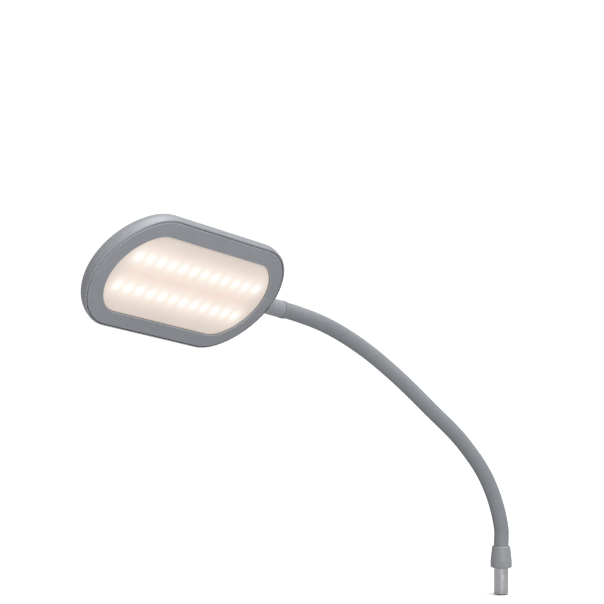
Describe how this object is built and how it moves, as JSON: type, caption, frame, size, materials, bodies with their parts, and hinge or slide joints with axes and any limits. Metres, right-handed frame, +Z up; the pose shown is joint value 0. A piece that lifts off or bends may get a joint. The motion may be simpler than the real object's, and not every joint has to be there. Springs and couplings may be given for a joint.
{
  "type": "examination lamp",
  "caption": "Examination lamp: flat oval LED head with an opal window on a bendable sleeved neck, standing on a round mounting spigot with a power inlet in its tip.",
  "frame": {"origin": "centre of the ferrule's lower face, where the spigot leaves it", "axes": "+Z up along the spigot and the foot of the neck, +X the level direction in which the head points away from the foot, +Y completes a right-handed frame"},
  "size_m": [0.5792, 0.14, 0.4082],
  "materials": {
    "casing": "fine satin texture",
    "sleeve": "matte silicone",
    "ferrule": "satin paint",
    "steel": "brushed",
    "brass": "machined",
    "lead": "matte",
    "opal": "opal, satin",
    "white_reflector": "gloss white",
    "board_white": "white solder mask on aluminium",
    "emitter": "phosphor under clear silicone",
    "aluminium": "mill finish",
    "board_green": "green solder mask",
    "black_plastic": "satin",
    "pad": "silicone-filled sheet",
    "connector": "satin",
    "button": "satin",
    "gasket": "matte",
    "nylon": "matte"
  },
  "bodies": {
    "foot": {"mounting_spigot": "steel", "foot_ferrule": "ferrule", "grub_screws": "steel", "power_inlet": "black_plastic", "inlet_pin": "brass", "lower_end_fitting": "brass", "neck_sleeve_0": "sleeve", "neck_core_0": "steel", "neck_lead_0": "lead"},
    "link_1": {"neck_sleeve_1": "sleeve", "neck_core_1": "steel", "neck_lead_1": "lead"},
    "link_2": {"neck_sleeve_2": "sleeve", "neck_core_2": "steel", "neck_lead_2": "lead"},
    "link_3": {"neck_sleeve_3": "sleeve", "neck_core_3": "steel", "neck_lead_3": "lead"},
    "link_4": {"neck_sleeve_4": "sleeve", "neck_core_4": "steel", "neck_lead_4": "lead"},
    "link_5": {"neck_sleeve_5": "sleeve", "neck_core_5": "steel", "neck_lead_5": "lead"},
    "link_6": {"neck_sleeve_6": "sleeve", "neck_core_6": "steel", "neck_lead_6": "lead"},
    "link_7": {"neck_sleeve_7": "sleeve", "neck_core_7": "steel", "neck_lead_7": "lead"},
    "link_8": {"neck_sleeve_8": "sleeve", "neck_core_8": "steel", "neck_lead_8": "lead", "upper_end_fitting": "brass", "retaining_clip": "steel", "swivel_washer": "nylon"},
    "button": {"push_button": "button"},
    "head": {"board_connector": "connector", "board_screws": "steel", "button_spring": "steel", "button_switch": "black_plastic", "diffuser": "opal", "diffuser_gasket": "gasket", "driver_board": "board_green", "driver_capacitors": "aluminium", "driver_choke": "black_plastic", "front_bezel": "casing", "head_lead": "lead", "head_screws": "steel", "heat_spreader": "aluminium", "insulation_pad": "pad", "led_board": "board_white", "led_emitters": "emitter", "rear_cover": "casing", "reflector_tray": "white_reflector", "swivel_bush": "ferrule"}
  },
  "joints": [
    {"name": "neck_bow_1", "type": "hinge", "parent": "foot", "child": "link_1", "pos_m": [0, 0, 0.044], "axis": [0.4179, 0.9085, 0], "range_deg": [-25, 25]},
    {"name": "neck_swing_2", "type": "hinge", "parent": "link_1", "child": "link_2", "pos_m": [0.01627, -0.00748, 0.09668], "axis": [0.804, -0.3698, -0.4656], "range_deg": [-25, 25]},
    {"name": "neck_bow_3", "type": "hinge", "parent": "link_2", "child": "link_3", "pos_m": [0.04683, -0.02154, 0.14177], "axis": [0.4179, 0.9085, 0], "range_deg": [-25, 25]},
    {"name": "neck_swing_4", "type": "hinge", "parent": "link_3", "child": "link_4", "pos_m": [0.08476, -0.03898, 0.17961], "axis": [0.6018, -0.2751, -0.7498], "range_deg": [-25, 25]},
    {"name": "neck_bow_5", "type": "hinge", "parent": "link_4", "child": "link_5", "pos_m": [0.12368, -0.05667, 0.21635], "axis": [0.3578, 0.9338, 0], "range_deg": [-25, 25]},
    {"name": "neck_swing_6", "type": "hinge", "parent": "link_5", "child": "link_6", "pos_m": [0.16793, -0.07085, 0.24809], "axis": [0.4805, -0.1166, -0.8692], "range_deg": [-25, 25]},
    {"name": "neck_bow_7", "type": "hinge", "parent": "link_6", "child": "link_7", "pos_m": [0.21825, -0.07961, 0.27171], "axis": [0.1113, 0.9938, 0], "range_deg": [-25, 25]},
    {"name": "neck_swing_8", "type": "hinge", "parent": "link_7", "child": "link_8", "pos_m": [0.27255, -0.08257, 0.2862], "axis": [0.2149, -0.0058, -0.9766], "range_deg": [-25, 25]},
    {"name": "head_swivel", "type": "hinge", "parent": "link_8", "child": "head", "pos_m": [0.29619, -0.08257, 0.29032], "axis": [0.9851, 0, 0.1719], "range_deg": [-135, 135]},
    {"name": "button_press", "type": "slide", "parent": "head", "child": "button", "axis": [0.1128, 0.7547, -0.6463], "range_m": [0, 0.0008], "stiffness_N_per_m": 600, "springref_m": -0.001, "deforming": ["button_spring"]}
  ]
}
